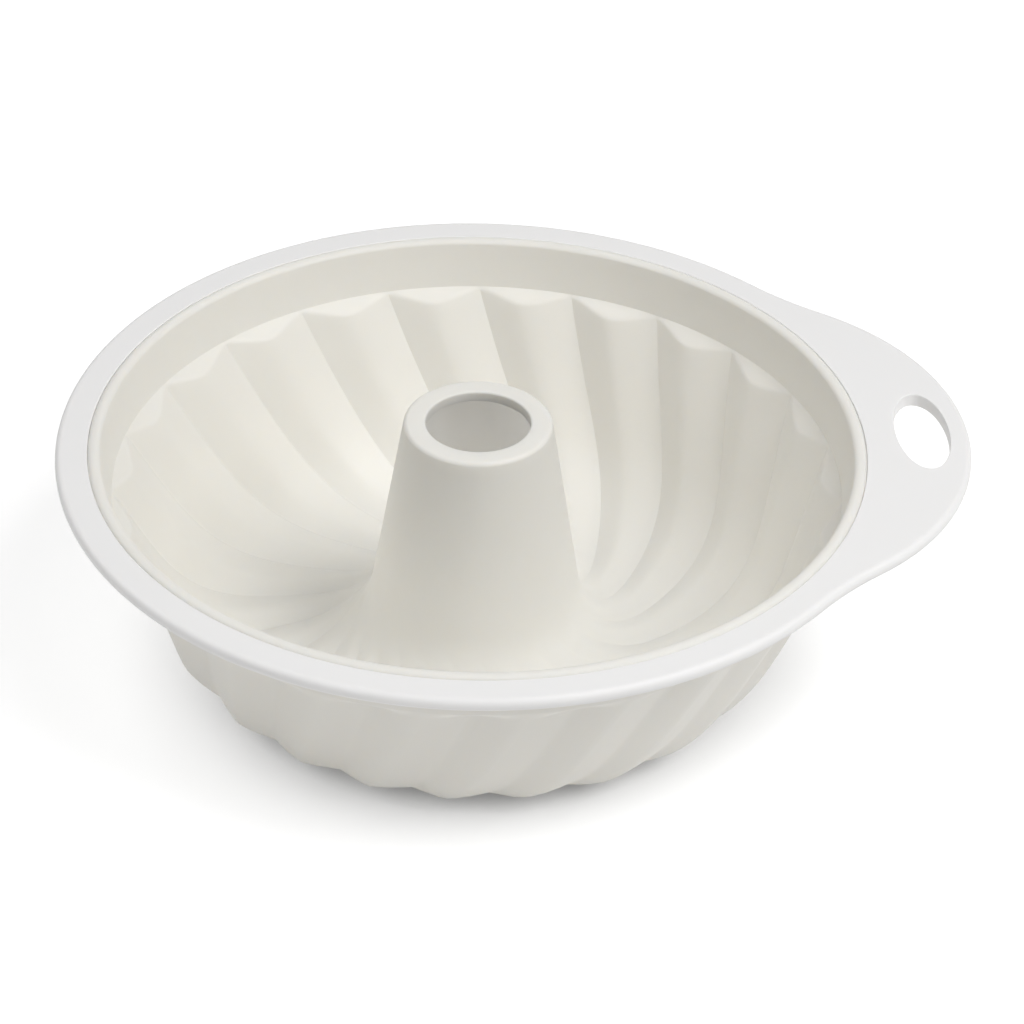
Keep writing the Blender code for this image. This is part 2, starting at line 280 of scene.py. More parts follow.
def seen_rays(tree):
    """One for camera, transmission and glossy rays, nought for the rays that light the pan."""
    path = add_node(tree, "ShaderNodeLightPath").outputs
    straight = add_node(tree, "ShaderNodeMath", {"operation": "MAXIMUM"}, {
        0: path["Is Camera Ray"], 1: path["Is Transmission Ray"]}).outputs[0]
    return add_node(tree, "ShaderNodeMath", {"operation": "MAXIMUM"}, {
        0: straight, 1: path["Is Glossy Ray"]}).outputs[0]


def silicone(name, finish, tone, dullness, glow):
    """Moulded silicone rubber: dense pigment, a soft sheen and a little light under the skin.

    The mould's spark-eroded steel leaves a fine grain. A real grain is about 0.1 mm, too fine to
    show from a step away, so it is drawn coarser. Handling and heat leave the sheen and the tone
    faintly uneven, in patches a few centimetres across. The tube's wall is thin and lit from all
    round, so much of the light in its bore comes through it, but not through the thick web at
    its top.
    """
    material, tree = new_material(name, tone)
    place = add_node(tree, "ShaderNodeTexCoord").outputs["Object"]
    patches = add_node(tree, "ShaderNodeTexNoise", {}, {
        "Vector": place, "Scale": 22.0, "Detail": 3.0, "Roughness": 0.55})
    fine = add_node(tree, "ShaderNodeTexNoise", {}, {
        "Vector": place, "Scale": 1.0 / finish.grain, "Detail": 2.0, "Roughness": 0.6})
    toned = add_node(tree, "ShaderNodeMix", {"data_type": "RGBA"}, {
        0: patches.outputs["Fac"],
        6: [channel * 0.985 for channel in tone[:3]] + [1.0],
        7: [min(channel * 1.012, 1.0) for channel in tone[:3]] + [1.0]})
    sheen = add_node(tree, "ShaderNodeMapRange", {}, {
        "Value": patches.outputs["Fac"], "To Min": dullness - 0.05, "To Max": dullness + 0.05})
    bump = add_node(tree, "ShaderNodeBump", {}, {
        "Height": fine.outputs["Fac"], "Strength": 0.10, "Distance": 0.0001})
    outwards = add_node(tree, "ShaderNodeVectorMath", {"operation": "MULTIPLY_ADD"}, {
        0: place, 1: (1.0, 1.0, 0.0), 2: (-PAN_AXIS, 0.0, 0.0)}).outputs["Vector"]
    normal = add_node(tree, "ShaderNodeNewGeometry").outputs["Normal"]
    facing = add_node(tree, "ShaderNodeVectorMath", {"operation": "DOT_PRODUCT"}, {
        0: outwards, 1: normal}).outputs["Value"]
    distance = add_node(tree, "ShaderNodeVectorMath", {"operation": "LENGTH"}, {
        0: outwards}).outputs["Value"]
    inwards = add_node(tree, "ShaderNodeMath", {"operation": "LESS_THAN"}, {
        0: facing, 1: -finish.bore_facing}).outputs["Value"]
    close = add_node(tree, "ShaderNodeMath", {"operation": "COMPARE"}, {
        0: distance, 1: finish.bore_radius, 2: finish.bore_spread}).outputs["Value"]
    bore = add_node(tree, "ShaderNodeMath", {"operation": "MULTIPLY"}, {
        0: inwards, 1: close}).outputs["Value"]
    weight = add_node(tree, "ShaderNodeMapRange", {}, {
        "Value": bore, "To Min": glow, "To Max": 1.0}).outputs["Result"]
    depth = add_node(tree, "ShaderNodeMapRange", {}, {
        "Value": bore, "To Min": finish.skin_depth, "To Max": finish.bore_depth}).outputs["Result"]
    surface = add_node(tree, "ShaderNodeBsdfPrincipled", {}, {
        "Base Color": toned.outputs[2], "Roughness": sheen.outputs["Result"],
        "IOR": 1.41, "Subsurface Weight": weight, "Subsurface Scale": depth,
        "Subsurface Radius": (1.0, 0.9, 0.75), "Normal": bump.outputs["Normal"]})
    add_node(tree, "ShaderNodeOutputMaterial", {}, {"Surface": surface.outputs["BSDF"]})
    return material


def rolled_steel(name, tone):
    """Rolled stainless sheet, punched to a ring: faint straight rolling lines and dull highlights.

    The lines run along X, 0.3 mm apart.
    """
    material, tree = new_material(name, tone)
    place = add_node(tree, "ShaderNodeTexCoord").outputs["Object"]
    stretched = add_node(tree, "ShaderNodeMapping", {}, {"Vector": place, "Scale": (20.0, 3300.0, 20.0)})
    lines = add_node(tree, "ShaderNodeTexNoise", {}, {
        "Vector": stretched.outputs["Vector"], "Scale": 1.0, "Detail": 4.0})
    dull = add_node(tree, "ShaderNodeMapRange", {}, {
        "Value": lines.outputs["Fac"], "To Min": 0.28, "To Max": 0.42})
    bump = add_node(tree, "ShaderNodeBump", {}, {
        "Height": lines.outputs["Fac"], "Strength": 0.15, "Distance": 0.00005})
    surface = add_node(tree, "ShaderNodeBsdfPrincipled", {}, {
        "Base Color": tone, "Metallic": 1.0, "Roughness": dull.outputs["Result"],
        "Normal": bump.outputs["Normal"]})
    add_node(tree, "ShaderNodeOutputMaterial", {}, {"Surface": surface.outputs["BSDF"]})
    return material


def link_mesh(name, mesh):
    """A new object with this mesh, in the scene."""
    obj = bpy.data.objects.new(name, mesh)
    bpy.context.scene.collection.objects.link(obj)
    return obj


def plain_mesh(obj, sharp_degrees):
    """Turn an object and its modifiers into a plain mesh with smooth faces that point out."""
    graph = bpy.context.evaluated_depsgraph_get()
    mesh = bpy.data.meshes.new_from_object(obj.evaluated_get(graph), depsgraph=graph)
    obj.modifiers.clear()
    obj.data = mesh
    bm = bmesh.new()
    bm.from_mesh(mesh)
    bmesh.ops.recalc_face_normals(bm, faces=bm.faces)
    bm.to_mesh(mesh)
    bm.free()
    mesh.shade_smooth()
    mesh.set_sharp_from_angle(angle=math.radians(sharp_degrees))


def cubic(start, leave, arrive, end):
    """Points on a cubic Bezier curve."""
    t = np.linspace(0.0, 1.0, CURVE_SAMPLES)[:, None]
    return ((1 - t) ** 3 * start + 3 * (1 - t) ** 2 * t * leave
            + 3 * (1 - t) * t ** 2 * arrive + t ** 3 * end)


def cone_radius(mould, depth):
    """Outer radius of the centre tube at this depth."""
    return mould.tube_radius + (mould.tube_rise + depth) * math.tan(mould.tube_lean)


def shoulder_radius(mould):
    """Radius where the collar ends and the flutes start."""
    return mould.lip_radius - mould.bead_width - mould.collar_depth * math.tan(mould.collar_draft)


def crease_curve(mould):
    """(radius, depth) points down the wall, across the floor and up to the tube's foot."""
    foot_depth = mould.bowl_depth - mould.foot_rise
    shoulder = np.array([shoulder_radius(mould), mould.collar_depth])
    foot = np.array([cone_radius(mould, foot_depth), foot_depth])
    deepest = np.array([foot[0] + mould.trough_bias * (shoulder[0] - foot[0]), mould.bowl_depth])
    down_wall = np.array([-math.sin(mould.wall_lean), math.cos(mould.wall_lean)])
    down_tube = np.array([math.sin(mould.tube_lean), math.cos(mould.tube_lean)])
    inwards = np.array([-1.0, 0.0])
    bowl = cubic(
        shoulder,
        shoulder + down_wall * mould.wall_fullness * (mould.bowl_depth - mould.collar_depth),
        deepest - inwards * mould.floor_fullness * (shoulder[0] - deepest[0]),
        deepest,
    )
    floor = cubic(
        deepest,
        deepest + inwards * mould.foot_fullness * (deepest[0] - foot[0]),
        foot + down_tube * mould.foot_fullness * mould.foot_rise,
        foot,
    )
    return np.concatenate([bowl, floor[1:]])


def smooth_step(x):
    """A soft climb from 0 to 1, level at both ends."""
    x = np.clip(x, 0.0, 1.0)
    return x * x * (3 - 2 * x)


def bowl_rows(mould, flutes, inside):
    """Rows down the bowl: radius, depth, lean into the cavity, twist, rib, ledge and notch."""
    points = crease_curve(mould)
    along = np.concatenate([[0.0], np.cumsum(np.hypot(*np.diff(points, axis=0).T))])
    slope = np.gradient(points, axis=0)
    slope /= np.hypot(*slope.T)[:, None]
    deepest = along[np.argmax(points[:, 1])]
    lean = np.interp(along, [0.0, deepest], [flutes.wall_twist, flutes.floor_twist])
    turn = np.tan(lean) / points[:, 0]
    twist = -np.concatenate([[0.0], np.cumsum(np.diff(along) * (turn[1:] + turn[:-1]) / 2)])
    narrowing = points[:, 0] / points[0, 0]
    to_foot = along[-1] - along
    scale = narrowing * smooth_step(to_foot / flutes.rib_fade)
    bend = np.cumsum(np.hypot(*np.gradient(slope, axis=0).T))
    spacing = along / along[-1] + bend / bend[-1]
    ledge = flutes.ledge_reach * flutes.rib_height / math.tan(flutes.ledge_slope)
    rows = flutes.inner_rows if inside else flutes.outer_rows
    first = np.linspace(0.0, ledge, flutes.ledge_rows, endpoint=False)
    even = np.linspace(np.interp(ledge, along, spacing), spacing[-1], rows)
    stops = np.concatenate([first, np.interp(even, spacing, along)])
    across, up = -slope[:, 1], -slope[:, 0]
    base = 0.0 if inside else -mould.wall
    none = np.zeros_like(along)
    notch = none if inside else (narrowing * smooth_step(along / flutes.groove_fade)
                                 * smooth_step(to_foot / flutes.groove_foot_fade))
    columns = [points[:, 0] + across * base, points[:, 1] - up * base, across, up, twist,
               scale if inside else none, along if inside else none, notch]
    return [[np.interp(stop, along, column) for column in columns] for stop in stops]


def turned_rows(points, twist=0.0):
    """Rows of a turned surface with no flutes."""
    return [[radius, depth, 0.0, 0.0, twist, 0.0, 0.0, 0.0] for radius, depth in points]


def line_between(start, end, steps):
    """Points along a straight line, without its ends."""
    return [tuple(np.array(start) + (np.array(end) - np.array(start)) * i / steps)
            for i in range(1, steps)]


def quarter(centre, radius, start_degrees, end_degrees, steps):
    """Points along an arc in the section, with both its ends; 90 degrees points up."""
    turns = np.radians(np.linspace(start_degrees, end_degrees, steps + 1))
    return [(centre[0] + radius * math.cos(t), centre[1] - radius * math.sin(t)) for t in turns]


def lip_points(mould):
    """The tongue, the bead's rounded crown and the collar."""
    middle = mould.rim_thickness / 2
    half = mould.tongue_thickness / 2
    crown = mould.lip_radius - mould.bead_width / 2
    spring = mould.bead_round - mould.bead_rise
    points = [(mould.tongue_radius, middle + half), (mould.tongue_radius, middle - half),
              (mould.lip_radius, middle - half)]
    for t in np.linspace(0.0, math.pi, mould.crown_steps + 1):
        points.append((crown + mould.bead_width / 2 * math.cos(t),
                       spring - mould.bead_round * math.sin(t)))
    collar = line_between(points[-1], (shoulder_radius(mould), mould.collar_depth), mould.collar_rows)
    return points + collar


def tube_points(mould):
    """The centre tube up its outer side, over its rounded top and down its opening."""
    top = -mould.tube_rise
    under = top + mould.tube_web
    foot_depth = mould.bowl_depth - mould.foot_rise
    lean = math.degrees(mould.tube_lean)
    outer = (cone_radius(mould, top) - mould.tube_round / math.cos(mould.tube_lean)
             + mould.tube_round * math.tan(mould.tube_lean), top + mould.tube_round)
    inner = (mould.tube_hole_radius + mould.hole_round, top + mould.hole_round)
    over = quarter(outer, mould.tube_round, lean, 90.0, mould.edge_steps)
    into = quarter(inner, mould.hole_round, 90.0, 180.0, mould.hole_steps)
    side = line_between((cone_radius(mould, foot_depth), foot_depth), over[0], mould.tube_rows)
    flat = line_between(over[-1], into[0], mould.top_rows)
    back = cone_radius(mould, under) - mould.wall / math.cos(mould.tube_lean)
    return (side + over + flat + into
            + line_between(into[-1], (mould.tube_hole_radius, under), mould.bore_rows)
            + [(mould.tube_hole_radius, under), (back, under)])


def outer_collar_points(mould):
    """The collar's outer side up to the underside of the bead."""
    under = (mould.lip_radius - mould.bead_width + mould.wall, mould.rim_thickness)
    shoulder = (shoulder_radius(mould) + mould.wall * math.cos(mould.wall_lean),
                mould.collar_depth)
    tongue = (mould.rim_thickness + mould.tongue_thickness) / 2
    return (line_between(shoulder, under, mould.outer_collar_rows)
            + [under, (mould.lip_radius, mould.rim_thickness), (mould.lip_radius, tongue)])


def section_object(mould, flutes):
    """The mould's closed section as a chain of points that carry what the flutes need."""
    inside = bowl_rows(mould, flutes, True)
    outside = bowl_rows(mould, flutes, False)[::-1]
    rows = (turned_rows(lip_points(mould)) + inside
            + turned_rows(tube_points(mould), inside[-1][4])
            + outside + turned_rows(outer_collar_points(mould)))
    rows = np.array(rows + rows[:1])
    mesh = bpy.data.meshes.new("mould_section")
    mesh.from_pydata([(row[0], 0.0, RIM_TOP - row[1]) for row in rows],
                     [(i, i + 1) for i in range(len(rows) - 1)], [])
    for name, column in (("twist", 4), ("rib", 5), ("ledge", 6), ("notch", 7)):
        mesh.attributes.new(name, "FLOAT", "POINT").data.foreach_set("value", rows[:, column])
    leans = np.stack([rows[:, 2], np.zeros(len(rows)), rows[:, 3]], axis=1)
    mesh.attributes.new("lean", "FLOAT_VECTOR", "POINT").data.foreach_set("vector", leans.ravel())
    return link_mesh("mould_section", mesh), len(rows)


SHELL_INPUTS = (
    ("Section", "NodeSocketObject"), ("Rows", "NodeSocketInt"), ("Flutes", "NodeSocketInt"),
    ("Columns", "NodeSocketInt"), ("First crease", "NodeSocketFloat"),
    ("Rib height", "NodeSocketFloat"), ("Rib facet", "NodeSocketFloat"),
    ("Notch depth", "NodeSocketFloat"),
    ("Notch crest", "NodeSocketFloat"), ("Ridge phase", "NodeSocketFloat"),
    ("Ledge slope", "NodeSocketFloat"), ("Ledge rounding", "NodeSocketFloat"),
    ("Axis X", "NodeSocketFloat"), ("Material", "NodeSocketMaterial"),
)

# Each step: the name of its result, what it does, and the values or earlier results it takes.
# The row and the column of a point of the grid, and how far it has climbed to the next ridge. The
# nudge keeps a column that lies on a crease from being rounded back over it.
PLACE_STEPS = (
    ("around", "MULTIPLY", "Flutes", "Columns"),
    ("grid columns", "ADD", "around", 1.0),
    ("middle", "ADD", "Index", 0.5),
    ("passed", "DIVIDE", "middle", "Rows"),
    ("column", "FLOOR", "passed"),
    ("before", "MULTIPLY", "column", "Rows"),
    ("row", "SUBTRACT", "Index", "before"),
    ("turn", "DIVIDE", "column", "Columns"),
    ("nudged", "ADD", "turn", 1e-5),
    ("phase", "FRACT", "nudged"),
    ("rising", "DIVIDE", "phase", "Ridge phase"),
    ("phase left", "SUBTRACT", 1.0, "phase"),
    ("far side", "SUBTRACT", 1.0, "Ridge phase"),
    ("falling", "DIVIDE", "phase left", "far side"),
    ("nearer", "MINIMUM", "rising", "falling"),
    ("climb", "MULTIPLY", "nearer", math.pi / 2),
)

# The rib and the notch at that point, and its heading round the axis.
RELIEF_STEPS = (
    ("sine", "SINE", "climb"),
    ("cosine", "COSINE", "climb"),
    ("full rib", "MULTIPLY", "rib", "Rib height"),
    ("steep side", "MULTIPLY", "nearer", "Rib facet"),
    ("ridge round", "POWER", "nearer", "Rib facet"),
    ("side less round", "SUBTRACT", "steep side", "ridge round"),
    ("side at ridge", "SUBTRACT", "Rib facet", 1.0),
    ("rib share", "DIVIDE", "side less round", "side at ridge"),
    ("round rib", "MULTIPLY", "full rib", "rib share"),
    ("ledge tangent", "TANGENT", "Ledge slope"),
    ("ledge height", "MULTIPLY", "ledge", "ledge tangent"),
    ("cut rib", "SMOOTH_MIN", "round rib", "ledge height", "Ledge rounding"),
    ("raised", "MAXIMUM", "cut rib", 0.0),
    ("soft notch", "SUBTRACT", 1.0, "cosine"),
    ("sharper", "SUBTRACT", "sine", "soft notch"),
    ("notch share", "MULTIPLY_ADD", "sharper", "Notch crest", "soft notch"),
    ("full notch", "MULTIPLY", "notch", "Notch depth"),
    ("swell", "MULTIPLY_ADD", "full notch", "notch share", "raised"),
    ("pitch", "DIVIDE", math.tau, "Flutes"),
    ("swept", "MULTIPLY_ADD", "turn", "pitch", "First crease"),
    ("heading", "ADD", "swept", "twist"),
    ("cosine of heading", "COSINE", "heading"),
    ("sine of heading", "SINE", "heading"),
)


def fluted_shell_tree():
    """Geometry nodes that sweep a section once round an upright axis and raise swirled ribs on it.

    Each point of a grid takes its row from the section and its column from its place between two
    creases. A rib's two sides climb evenly from sharp creases and turn over a round ridge, and a
    plain ledge cuts its upper end. A notch climbs as one minus a cosine, mixed with a sine, which
    makes its ridge sharper.
    """
    tree = bpy.data.node_groups.new("fluted_shell", "GeometryNodeTree")
    for name, kind in SHELL_INPUTS:
        tree.interface.new_socket(name=name, in_out="INPUT", socket_type=kind)
    tree.interface.new_socket(name="Geometry", in_out="OUTPUT", socket_type="NodeSocketGeometry")
    given = add_node(tree, "NodeGroupInput").outputs
    value = {name: given[name] for name, kind in SHELL_INPUTS}
    value["Index"] = add_node(tree, "GeometryNodeInputIndex").outputs[0]
    for name, operation, *terms in PLACE_STEPS:
        value[name] = add_node(tree, "ShaderNodeMath", {"operation": operation}, {
            i: value.get(term, term) for i, term in enumerate(terms)}).outputs[0]
    grid = add_node(tree, "GeometryNodeMeshGrid", {}, {
        "Vertices X": value["grid columns"], "Vertices Y": given["Rows"]})
    profile = add_node(tree, "GeometryNodeObjectInfo", {}, {"Object": given["Section"]})
    for name, kind in (("position", "FLOAT_VECTOR"), ("lean", "FLOAT_VECTOR"), ("twist", "FLOAT"),
                       ("rib", "FLOAT"), ("ledge", "FLOAT"), ("notch", "FLOAT")):
        carried = add_node(tree, "GeometryNodeInputNamedAttribute", {"data_type": kind}, {"Name": name})
        value[name] = add_node(tree, "GeometryNodeSampleIndex", {"data_type": kind, "domain": "POINT"}, {
            "Geometry": profile.outputs["Geometry"], "Value": carried.outputs["Attribute"],
            "Index": value["row"]}).outputs[0]
    for name, operation, *terms in RELIEF_STEPS:
        value[name] = add_node(tree, "ShaderNodeMath", {"operation": operation}, {
            i: value.get(term, term) for i, term in enumerate(terms)}).outputs[0]
    leaning = add_node(tree, "ShaderNodeVectorMath", {"operation": "SCALE"}, {
        0: value["lean"], "Scale": value["swell"]})
    swollen = add_node(tree, "ShaderNodeVectorMath", {"operation": "ADD"}, {
        0: value["position"], 1: leaning.outputs[0]})
    parts = add_node(tree, "ShaderNodeSeparateXYZ", {}, {0: swollen.outputs[0]}).outputs
    standing = add_node(tree, "ShaderNodeCombineXYZ", {}, {
        "X": add_node(tree, "ShaderNodeMath", {"operation": "MULTIPLY_ADD"}, {
            0: parts["X"], 1: value["cosine of heading"], 2: given["Axis X"]}).outputs[0],
        "Y": add_node(tree, "ShaderNodeMath", {"operation": "MULTIPLY"}, {
            0: parts["X"], 1: value["sine of heading"]}).outputs[0],
        "Z": add_node(tree, "ShaderNodeMath", {"operation": "MAXIMUM"}, {
            0: parts["Z"], 1: 0.0}).outputs[0]})
    shaped = add_node(tree, "GeometryNodeSetPosition", {}, {
        "Geometry": grid.outputs["Mesh"], "Position": standing.outputs[0]})
    closed = add_node(tree, "GeometryNodeMergeByDistance", {}, {
        "Geometry": shaped.outputs[0], "Distance": WELD})
    real = add_node(tree, "GeometryNodeRealizeInstances", {}, {"Geometry": closed.outputs[0]})
    dressed = add_node(tree, "GeometryNodeSetMaterial", {}, {
        "Geometry": real.outputs[0], "Material": given["Material"]})
    add_node(tree, "NodeGroupOutput", {}, {"Geometry": dressed.outputs[0]})
    return tree


def set_inputs(modifier, values):
    """Set a geometry nodes modifier's inputs by the names that its tree gives them."""
    for item in modifier.node_group.interface.items_tree:
        if item.in_out == "INPUT" and item.name in values:
            modifier[item.identifier] = values[item.name]


class OBJECT_OT_tube_pan_mould(Operator):
    """Build the ivory mould with its collar, swirled flutes and centre tube"""

    bl_idname = "object.tube_pan_mould"
    bl_label = "Mould"

    def execute(self, context):
        pan = context.scene.tube_pan
        section, rows = section_object(pan.mould, pan.flutes)
        body = link_mesh("ivory_mould", bpy.data.meshes.new("ivory_mould"))
        sweep = body.modifiers.new("fluted_shell", "NODES")
        sweep.node_group = fluted_shell_tree()
        set_inputs(sweep, {
            "Section": section, "Rows": rows, "Flutes": pan.flutes.flutes,
            "Columns": pan.flutes.columns, "First crease": pan.flutes.first_crease,
            "Rib height": pan.flutes.rib_height, "Rib facet": pan.flutes.rib_facet,
            "Notch depth": pan.flutes.groove_depth,
            "Notch crest": pan.flutes.notch_crest, "Ridge phase": pan.flutes.ridge_phase,
            "Ledge slope": pan.flutes.ledge_slope, "Ledge rounding": pan.flutes.ledge_round,
            "Axis X": PAN_AXIS,
            "Material": silicone("silicone_moulded_ivory", pan.finish, linear(pan.finish.ivory),
                                 pan.finish.ivory_dullness, pan.finish.ivory_glow),
        })
        plain_mesh(body, MOULD_SHARP)
        bpy.data.objects.remove(section, do_unlink=True)
        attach(body, "root")
        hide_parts("mould_body")
        return {"FINISHED"}


def arc(centre, radius, start, end, steps):
    """Points along an arc, without its last one."""
    turns = [start + (end - start) * i / steps for i in range(steps)]
    return [(centre[0] + radius * math.cos(t), centre[1] + radius * math.sin(t)) for t in turns]


def rim_outline(rim, inset):
    """Ring, hollow blends and rounded handle end, all drawn in by the same inset."""
    end_x = RIM_RADIUS + rim.handle_length - rim.end_radius
    to_ring = RIM_RADIUS + rim.blend_radius
    to_end = rim.end_radius + rim.blend_radius
    blend_x = (to_ring ** 2 - to_end ** 2 + end_x ** 2) / (2 * end_x)
    blend_y = math.sqrt(to_ring ** 2 - blend_x ** 2)
    end_turn = math.atan2(blend_y, blend_x - end_x)
    ring_turn = math.atan2(blend_y, blend_x)
    points = arc((end_x, 0.0), rim.end_radius - inset, -end_turn, end_turn, rim.steps // 4)
    points += arc((blend_x, blend_y), rim.blend_radius + inset, end_turn - math.pi,
                  ring_turn - math.pi, rim.steps // 12)
    points += arc((0.0, 0.0), RIM_RADIUS - inset, ring_turn, math.tau - ring_turn, rim.steps)
    points += arc((blend_x, -blend_y), rim.blend_radius + inset, math.pi - ring_turn,
                  math.pi - end_turn, rim.steps // 12)
    return points


def hole_outline(rim, margin):
    """The hanging hole's oval, grown by the margin."""
    reach = RIM_RADIUS + rim.handle_length - rim.hole_web - rim.hole_width / 2
    turns = np.linspace(0.0, math.tau, rim.steps // 2, endpoint=False)
    return [(reach + (rim.hole_width / 2 + margin) * math.cos(t),
             (rim.hole_length / 2 + margin) * math.sin(t)) for t in turns]


def opening_outline(rim, margin):
    """The circle that the mould sits in, grown by the margin."""
    return arc((0.0, 0.0), RIM_RADIUS - rim.width + margin, 0.0, math.tau, rim.steps)


def edge_stops(edge, flat, top, bottom, steps):
    """(inset, depth) stops over a rounded edge between two depths; each ends in a narrow flat."""
    turns = np.radians(np.linspace(0.0, 90.0, steps + 1))
    over = [(edge * (1 - math.sin(t)), top + edge * (1 - math.cos(t))) for t in turns]
    under = [(inset, top + bottom - depth) for inset, depth in reversed(over)]
    return [(edge + flat, top)] + over + under + [(edge + flat, bottom)]


def add_loops(bm, outline, stops):
    """Loops of vertices for each (inset, depth) stop, joined by faces; the first and last loop."""
    loops = []
    for inset, depth in stops:
        loops.append([bm.verts.new((PAN_AXIS + x, y, RIM_TOP - depth)) for x, y in outline(inset)])
    for loop, after in zip(loops, loops[1:]):
        for i, vert in enumerate(loop):
            beside = (i + 1) % len(loop)
            bm.faces.new((vert, loop[beside], after[beside], after[i]))
    return loops[0], loops[-1]


def fill_between(bm, loops):
    """A flat face with holes, inside the first loop and round the others."""
    edges = [bm.edges.get((loop[i - 1], loop[i])) for loop in loops for i in range(len(loop))]
    bmesh.ops.triangle_fill(bm, use_beauty=True, use_dissolve=False, edges=edges)


def rim_mesh(rim, thickness):
    """The rim's closed mesh: round outer edges, softly rounded openings and a slot for its ring."""
    bm = bmesh.new()
    slot_top = (thickness - rim.slot) / 2
    slot_bottom = slot_top + rim.slot
    flat = rim.inner_round
    outer_stops = edge_stops(rim.edge_round, flat, 0.0, thickness, rim.edge_steps)
    inner_stops = edge_stops(rim.inner_round, flat, 0.0, thickness, rim.edge_steps)
    half = len(inner_stops) // 2
    outer = add_loops(bm, lambda inset: rim_outline(rim, inset), outer_stops)
    hole = add_loops(bm, lambda inset: hole_outline(rim, inset), inner_stops)
    above = add_loops(bm, lambda inset: opening_outline(rim, inset),
                      inner_stops[:half] + [(0.0, slot_top)])
    below = add_loops(bm, lambda inset: opening_outline(rim, inset),
                      [(0.0, slot_bottom)] + inner_stops[half:])
    slot_stops = [(rim.skin, slot_top), (rim.skin, slot_bottom)]
    far = add_loops(bm, lambda inset: rim_outline(rim, inset), slot_stops)
    pillar = add_loops(bm, lambda inset: hole_outline(rim, inset), slot_stops)
    fill_between(bm, (outer[0], above[0], hole[0]))
    fill_between(bm, (outer[1], below[1], hole[1]))
    fill_between(bm, (far[0], above[1], pillar[0]))
    fill_between(bm, (far[1], below[0], pillar[1]))
    mesh = bpy.data.meshes.new("white_rim")
    bm.to_mesh(mesh)
    bm.free()
    return mesh


class OBJECT_OT_tube_pan_rim(Operator):
    """Build the white rim with its handle, its hanging hole and the slot for its steel ring"""

    bl_idname = "object.tube_pan_rim"
    bl_label = "Rim and handle"

    def execute(self, context):
        pan = context.scene.tube_pan
        body = link_mesh("white_rim", rim_mesh(pan.rim, pan.mould.rim_thickness))
        body.data.materials.append(
            silicone("silicone_moulded_white", pan.finish, linear(pan.finish.white),
                     pan.finish.white_dullness, pan.finish.white_glow))
        plain_mesh(body, RIM_SHARP)
        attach(body, "root")
        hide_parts("rim_and_handle")
        return {"FINISHED"}


class OBJECT_OT_tube_pan_ring(Operator):
    """Finish the hidden steel ring that keeps the rim flat"""

    bl_idname = "object.tube_pan_ring"
    bl_label = "Steel ring"

    def execute(self, context):
        pan = context.scene.tube_pan
        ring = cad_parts["rim_frame"].data
        ring.materials.clear()
        ring.materials.append(rolled_steel("stainless_sheet_rolled", linear(pan.finish.steel)))
        return {"FINISHED"}


def paper(stage):
    """Matt white paper that looks full white wherever it is open to the light.

    The camera and mirrors see it lifted to white, and darker where the pan shuts out the sky or
    the lamps; most of that darkness is a painted shadow, a white glow that ambient occlusion
    dims near the pan. What it throws back on the pan comes from the plain matt paper.
    """
    tone = linear(stage.floor)
    material, tree = new_material("studio_paper", tone)
    seen = seen_rays(tree)
    lifted = [channel * stage.floor_lift for channel in tone[:3]] + [1.0]
    shown = add_node(tree, "ShaderNodeMix", {"data_type": "RGBA"}, {0: seen, 6: tone, 7: lifted})
    matt = add_node(tree, "ShaderNodeBsdfDiffuse", {}, {"Color": shown.outputs[2]})
    # Painted shadow: ambient occlusion round each point of the paper dims a white glow near the pan,
    # standing in for a soft contact shadow.
    sky = add_node(tree, "ShaderNodeAmbientOcclusion", {"samples": stage.painted_shadow_samples}, {
        "Distance": stage.painted_shadow_reach})
    painted_shadow_strength = add_node(tree, "ShaderNodeMapRange", {}, {
        "Value": sky.outputs["AO"], "From Max": stage.painted_shadow_end, "To Min": stage.painted_shadow_dark})
    white = add_node(tree, "ShaderNodeEmission", {}, {
        "Color": PLAIN_WHITE, "Strength": painted_shadow_strength.outputs["Result"]})
    # The camera and mirrors see the painted shadow's glow for this share, and the lifted matt paper for the
    # rest.
    part = add_node(tree, "ShaderNodeMath", {"operation": "MULTIPLY"}, {
        0: seen, 1: stage.painted_shadow_share})
    both = add_node(tree, "ShaderNodeMixShader", {}, {
        0: part.outputs[0], 1: matt.outputs[0], 2: white.outputs[0]})
    add_node(tree, "ShaderNodeOutputMaterial", {}, {"Surface": both.outputs[0]})
    return material


def white_world(stage):
    """An even white sky that the camera and mirrors see at full white."""
    world = bpy.data.worlds.new("studio_sky")
    world.use_nodes = True
    tree = world.node_tree
    tree.nodes.clear()
    seen = seen_rays(tree)
    strength = add_node(tree, "ShaderNodeMix", {"data_type": "FLOAT"}, {
        0: seen, 2: stage.sky, 3: 1.0})
    sky = add_node(tree, "ShaderNodeBackground", {}, {
        "Color": PLAIN_WHITE, "Strength": strength.outputs[0]})
    add_node(tree, "ShaderNodeOutputWorld", {}, {"Surface": sky.outputs[0]})
    return world


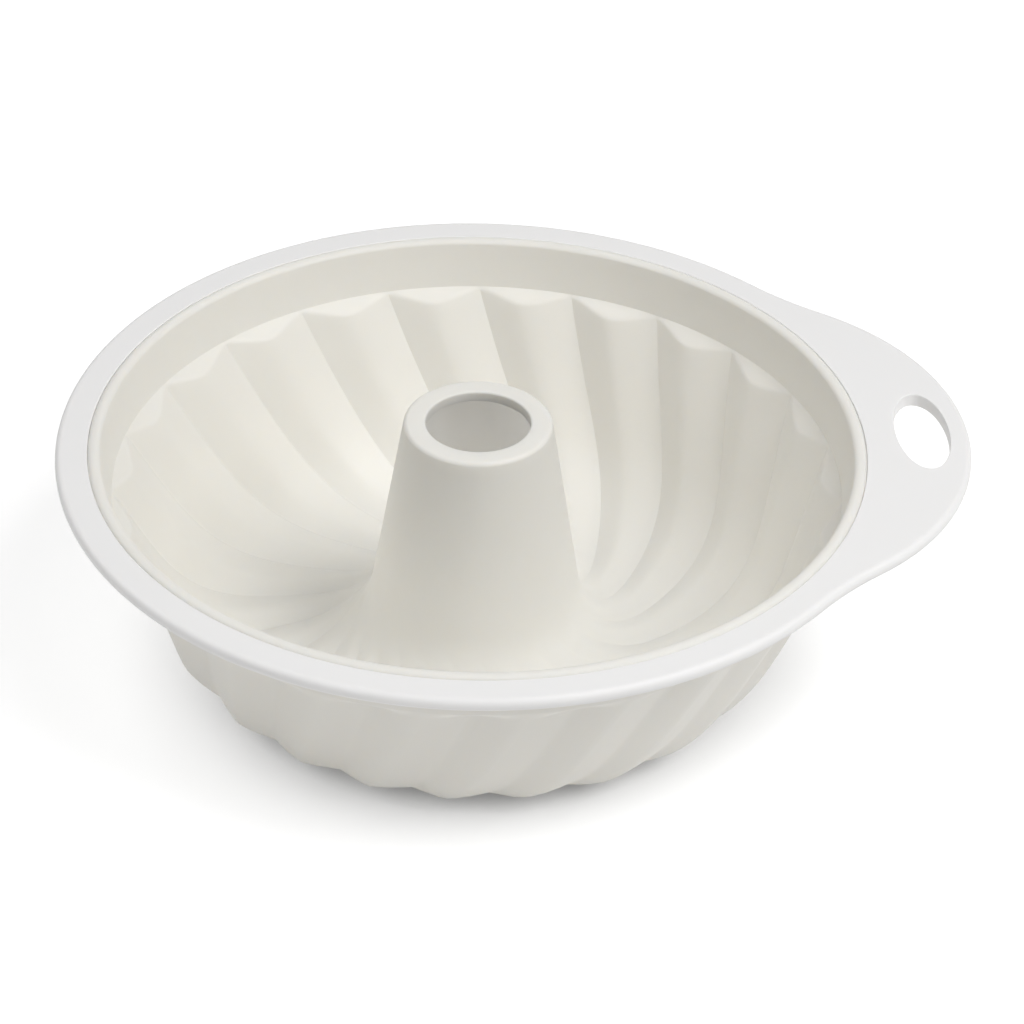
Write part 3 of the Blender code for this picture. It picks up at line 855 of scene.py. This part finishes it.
class SCENE_OT_tube_pan_stage(Operator):
    """Set up the camera, the paper floor and the studio lights"""

    bl_idname = "scene.tube_pan_stage"
    bl_label = "Stage"

    def execute(self, context):
        scene = context.scene
        stage = scene.tube_pan.stage
        half = stage.floor_half
        corners = ((-half, -half), (half, -half), (half, half), (-half, half))
        floor_mesh = bpy.data.meshes.new("paper_floor")
        floor_mesh.from_pydata([(x, y, -stage.floor_drop) for x, y in corners], [], [(0, 1, 2, 3)])
        floor_mesh.materials.append(paper(stage))
        link_mesh("paper_floor", floor_mesh)
        scene.world = white_world(stage)
        for name, power, place in (
                ("key_lamp", stage.key, stage.key_place),
                ("front_fill_lamp", stage.front_fill, stage.front_fill_place),
                ("back_fill_lamp", stage.back_fill, stage.back_fill_place)):
            light = bpy.data.lights.new(name, "AREA")
            light.energy = power
            light.size = stage.lamp_size
            lamp = bpy.data.objects.new(name, light)
            lamp.location = place
            lamp.rotation_euler = (-lamp.location).to_track_quat("-Z", "Y").to_euler()
            scene.collection.objects.link(lamp)
        lens = bpy.data.cameras.new("view")
        lens.lens = stage.lens
        lens.sensor_width = stage.film
        lens.clip_start = 0.01
        camera = bpy.data.objects.new("view", lens)
        camera.location = stage.camera_place
        camera.rotation_euler = stage.camera_turn
        scene.collection.objects.link(camera)
        scene.camera = camera
        scene.view_settings.view_transform = "Standard"
        return {"FINISHED"}


class VIEW3D_PT_tube_pan(Panel):
    """Lists what builds the pan, and its sizes and colours"""

    bl_idname = "VIEW3D_PT_tube_pan"
    bl_label = "Tube Pan"
    bl_space_type = "VIEW_3D"
    bl_region_type = "UI"
    bl_category = "Tube Pan"

    def draw(self, context):
        pan = context.scene.tube_pan
        for operator in OPERATORS:
            self.layout.operator(operator.bl_idname)
        for group in (pan.mould, pan.flutes, pan.rim, pan.finish, pan.stage):
            box = self.layout.box()
            for name in group.__annotations__:
                box.prop(group, name)


OPERATORS = (OBJECT_OT_tube_pan_mould, OBJECT_OT_tube_pan_rim, OBJECT_OT_tube_pan_ring,
             SCENE_OT_tube_pan_stage)
CLASSES = (MouldSizes, FluteSizes, RimSizes, PanFinish, StageSettings, PanSettings, *OPERATORS,
           VIEW3D_PT_tube_pan)


def register():
    """Register the classes and hang the pan's settings on the scene."""
    for cls in CLASSES:
        bpy.utils.register_class(cls)
    bpy.types.Scene.tube_pan = PointerProperty(type=PanSettings)


def unregister():
    """Take the settings and the classes away again."""
    del bpy.types.Scene.tube_pan
    for cls in reversed(CLASSES):
        bpy.utils.unregister_class(cls)


def main():
    """Build the pan and its studio."""
    register()
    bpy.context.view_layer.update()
    bpy.ops.object.tube_pan_mould()
    bpy.ops.object.tube_pan_rim()
    bpy.ops.object.tube_pan_ring()
    bpy.ops.scene.tube_pan_stage()


if __name__ == "__main__":
    main()
